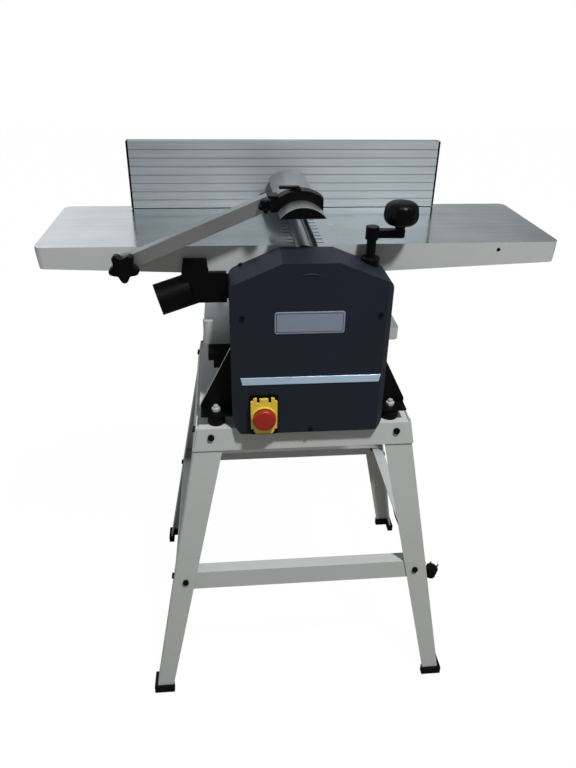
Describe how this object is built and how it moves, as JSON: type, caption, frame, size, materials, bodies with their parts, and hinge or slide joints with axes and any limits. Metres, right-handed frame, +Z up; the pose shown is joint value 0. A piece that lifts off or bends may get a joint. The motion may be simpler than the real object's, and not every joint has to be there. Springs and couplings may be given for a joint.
{
  "type": "planer thicknesser",
  "caption": "Combination planer thicknesser on a splayed sheet-metal stand, with planing tables, tilting fence, arched cutter guard, crank-lifted thicknessing table and dust hood.",
  "frame": {"origin": "on the floor, in the middle of the four feet", "axes": "+X along the planing tables towards the infeed end, +Y from the operator to the fence, +Z up"},
  "size_m": [0.892, 0.5539, 1.071],
  "materials": {
    "stand_paint": "light warm grey gloss paint",
    "black_plastic": "moulded black",
    "black_paint": "semi-matt black paint",
    "cover_plastic": "fine-grained dark slate",
    "table_metal": "milled top, painted skirt",
    "fence_metal": "extruded, satin",
    "guard_metal": "anodised satin",
    "bright_steel": "machined",
    "grey_cast": "cast and turned",
    "table_paint": "light grey paint",
    "rubber": "black rubber",
    "trim_metal": "brushed strip",
    "yellow_plastic": "safety yellow",
    "red_plastic": "signal red",
    "green_plastic": "green",
    "motor_paint": "dark grey paint",
    "cord_rubber": "black sheath"
  },
  "bodies": {
    "machine": {"leg_front_left": "stand_paint", "leg_front_right": "stand_paint", "leg_rear_left": "stand_paint", "leg_rear_right": "stand_paint", "foot_caps": "black_plastic", "apron_front": "stand_paint", "apron_rear": "stand_paint", "apron_sides": "stand_paint", "crossbar_front": "stand_paint", "crossbar_rear": "stand_paint", "crossbar_sides": "stand_paint", "stand_bolts": "black_paint", "base_plate": "stand_paint", "rubber_feet": "rubber", "base_studs": "bright_steel", "front_frame": "black_paint", "rear_frame": "stand_paint", "tie_bars": "grey_cast", "guide_columns": "bright_steel", "cutter_bearings": "bright_steel", "motor": "motor_paint", "drive_belt": "rubber", "rear_cover": "black_plastic", "lift_chain": "bright_steel", "outfeed_table": "table_metal", "front_cover": "cover_plastic", "trim_strip": "trim_metal", "cover_screws": "black_paint", "switch_body": "black_plastic", "fence_bracket": "black_paint", "cord_gland": "cord_rubber", "mains_cord": "cord_rubber", "plug": "cord_rubber"},
    "cutter": {"cutter_block": "bright_steel", "cutter_knives": "bright_steel", "cutter_pulley": "grey_cast"},
    "motor_rotor": {"motor_pulley": "grey_cast"},
    "roller_in": {"feed_roller_in": "bright_steel"},
    "roller_out": {"feed_roller_out": "bright_steel"},
    "fingers": {"kickback_fingers": "bright_steel"},
    "crank": {"lift_spindle_right": "bright_steel", "crank_arm": "black_plastic"},
    "crank_grip": {"crank_knob": "black_plastic"},
    "left_spindle": {"lift_spindle_left": "bright_steel"},
    "thicknesser_table": {"thickness_table": "table_paint", "lift_brackets": "black_paint"},
    "infeed": {"infeed_table": "table_metal"},
    "depth_setter": {"depth_knob": "black_plastic"},
    "flap": {"switch_flap": "yellow_plastic"},
    "stop": {"stop_button": "red_plastic"},
    "start": {"start_button": "green_plastic"},
    "fence_body": {"fence": "fence_metal", "fence_end_caps": "black_plastic"},
    "arm": {"guard_arm": "guard_metal"},
    "arm_lock": {"arm_knob": "black_plastic"},
    "clamp": {"guard_clamp": "black_plastic"},
    "clamp_cam": {"clamp_lever": "black_plastic"},
    "clamp_lock": {"clamp_knob": "black_plastic"},
    "guard": {"guard_profile": "guard_metal"},
    "hood": {"dust_hood": "black_plastic"}
  },
  "joints": [
    {"name": "crank_turn", "type": "hinge", "parent": "machine", "child": "crank", "pos_m": [0.108, -0.128, 0.96], "axis": [0, 0, 1], "range_deg": [-2520, 2880]},
    {"name": "crank_grip_spin", "type": "hinge", "parent": "crank", "child": "crank_grip", "pos_m": [0.154, -0.128, 1], "axis": [0, 0, 1], "continuous": true},
    {"name": "left_spindle_turn", "type": "hinge", "parent": "machine", "child": "left_spindle", "pos_m": [-0.108, -0.128, 0.7], "axis": [0, 0, 1], "range_deg": [-2520, 2880]},
    {"name": "thicknesser_lift", "type": "slide", "parent": "machine", "child": "thicknesser_table", "axis": [0, 0, 1], "range_m": [-0.028, 0.032]},
    {"name": "cutter_spin", "type": "hinge", "parent": "machine", "child": "cutter", "pos_m": [0, 0.024, 0.918], "axis": [0, 1, 0], "continuous": true},
    {"name": "motor_spin", "type": "hinge", "parent": "machine", "child": "motor_rotor", "pos_m": [0.024, -0.17, 0.704], "axis": [0, 1, 0], "continuous": true},
    {"name": "roller_in_spin", "type": "hinge", "parent": "machine", "child": "roller_in", "pos_m": [-0.058, 0.024, 0.9047], "axis": [0, 1, 0], "continuous": true},
    {"name": "roller_out_spin", "type": "hinge", "parent": "machine", "child": "roller_out", "pos_m": [0.058, 0.024, 0.9047], "axis": [0, 1, 0], "continuous": true},
    {"name": "fingers_swing", "type": "hinge", "parent": "machine", "child": "fingers", "pos_m": [-0.088, 0.024, 0.893], "axis": [0, -1, 0], "range_deg": [0, 60]},
    {"name": "infeed_drop", "type": "slide", "parent": "machine", "child": "infeed", "axis": [0, 0, 1], "range_m": [-0.003, 0]},
    {"name": "depth_turn", "type": "hinge", "parent": "machine", "child": "depth_setter", "pos_m": [0.115, 0.024, 0.86], "axis": [0, 0, 1], "range_deg": [0, 720]},
    {"name": "flap_hinge", "type": "hinge", "parent": "machine", "child": "flap", "pos_m": [-0.076, -0.207, 0.705], "axis": [-1, 0, 0], "range_deg": [0, 95]},
    {"name": "stop_press", "type": "slide", "parent": "flap", "child": "stop", "axis": [0, 1, 0], "range_m": [0, 0.004], "stiffness_N_per_m": 400},
    {"name": "start_press", "type": "slide", "parent": "machine", "child": "start", "axis": [0, 1, 0], "range_m": [0, 0.003], "stiffness_N_per_m": 400},
    {"name": "fence_tilt", "type": "hinge", "parent": "machine", "child": "fence_body", "pos_m": [0, 0.163, 0.953], "axis": [-1, 0, 0], "range_deg": [0, 45]},
    {"name": "arm_swing", "type": "hinge", "parent": "machine", "child": "arm", "pos_m": [-0.297, -0.129, 0.925], "axis": [0, -1, 0], "range_deg": [-6, 15]},
    {"name": "arm_lock_turn", "type": "hinge", "parent": "arm", "child": "arm_lock", "pos_m": [-0.297, -0.15, 0.925], "axis": [0, 1, 0], "range_deg": [0, 180]},
    {"name": "clamp_level", "type": "hinge", "parent": "arm", "child": "clamp", "pos_m": [-0.0693, -0.11, 1.02072], "axis": [0, -1, 0], "range_deg": [-8, 8]},
    {"name": "clamp_lock_turn", "type": "hinge", "parent": "arm", "child": "clamp_lock", "pos_m": [-0.0693, -0.145, 1.02072], "axis": [0, 1, 0], "range_deg": [0, 180]},
    {"name": "clamp_cam_turn", "type": "hinge", "parent": "clamp", "child": "clamp_cam", "pos_m": [-0.014, -0.1, 1.0364], "axis": [0, 1, 0], "range_deg": [0, 80]},
    {"name": "guard_slide", "type": "slide", "parent": "clamp", "child": "guard", "axis": [0, 1, 0], "range_m": [-0.15, 0]},
    {"name": "hood_slide", "type": "slide", "parent": "machine", "child": "hood", "axis": [1, 0, 0], "range_m": [-0.06, 0]}
  ],
  "couplings": [
    {"joint": "crank_turn", "follows": "thicknesser_lift", "rad_per_m": 1570.8},
    {"joint": "left_spindle_turn", "follows": "thicknesser_lift", "rad_per_m": 1570.8},
    {"joint": "motor_spin", "follows": "cutter_spin", "ratio": 0.57143},
    {"joint": "roller_in_spin", "follows": "cutter_spin", "ratio": -0.63889},
    {"joint": "roller_out_spin", "follows": "cutter_spin", "ratio": -0.63889},
    {"joint": "depth_turn", "follows": "infeed_drop", "rad_per_m": -4188.8}
  ]
}
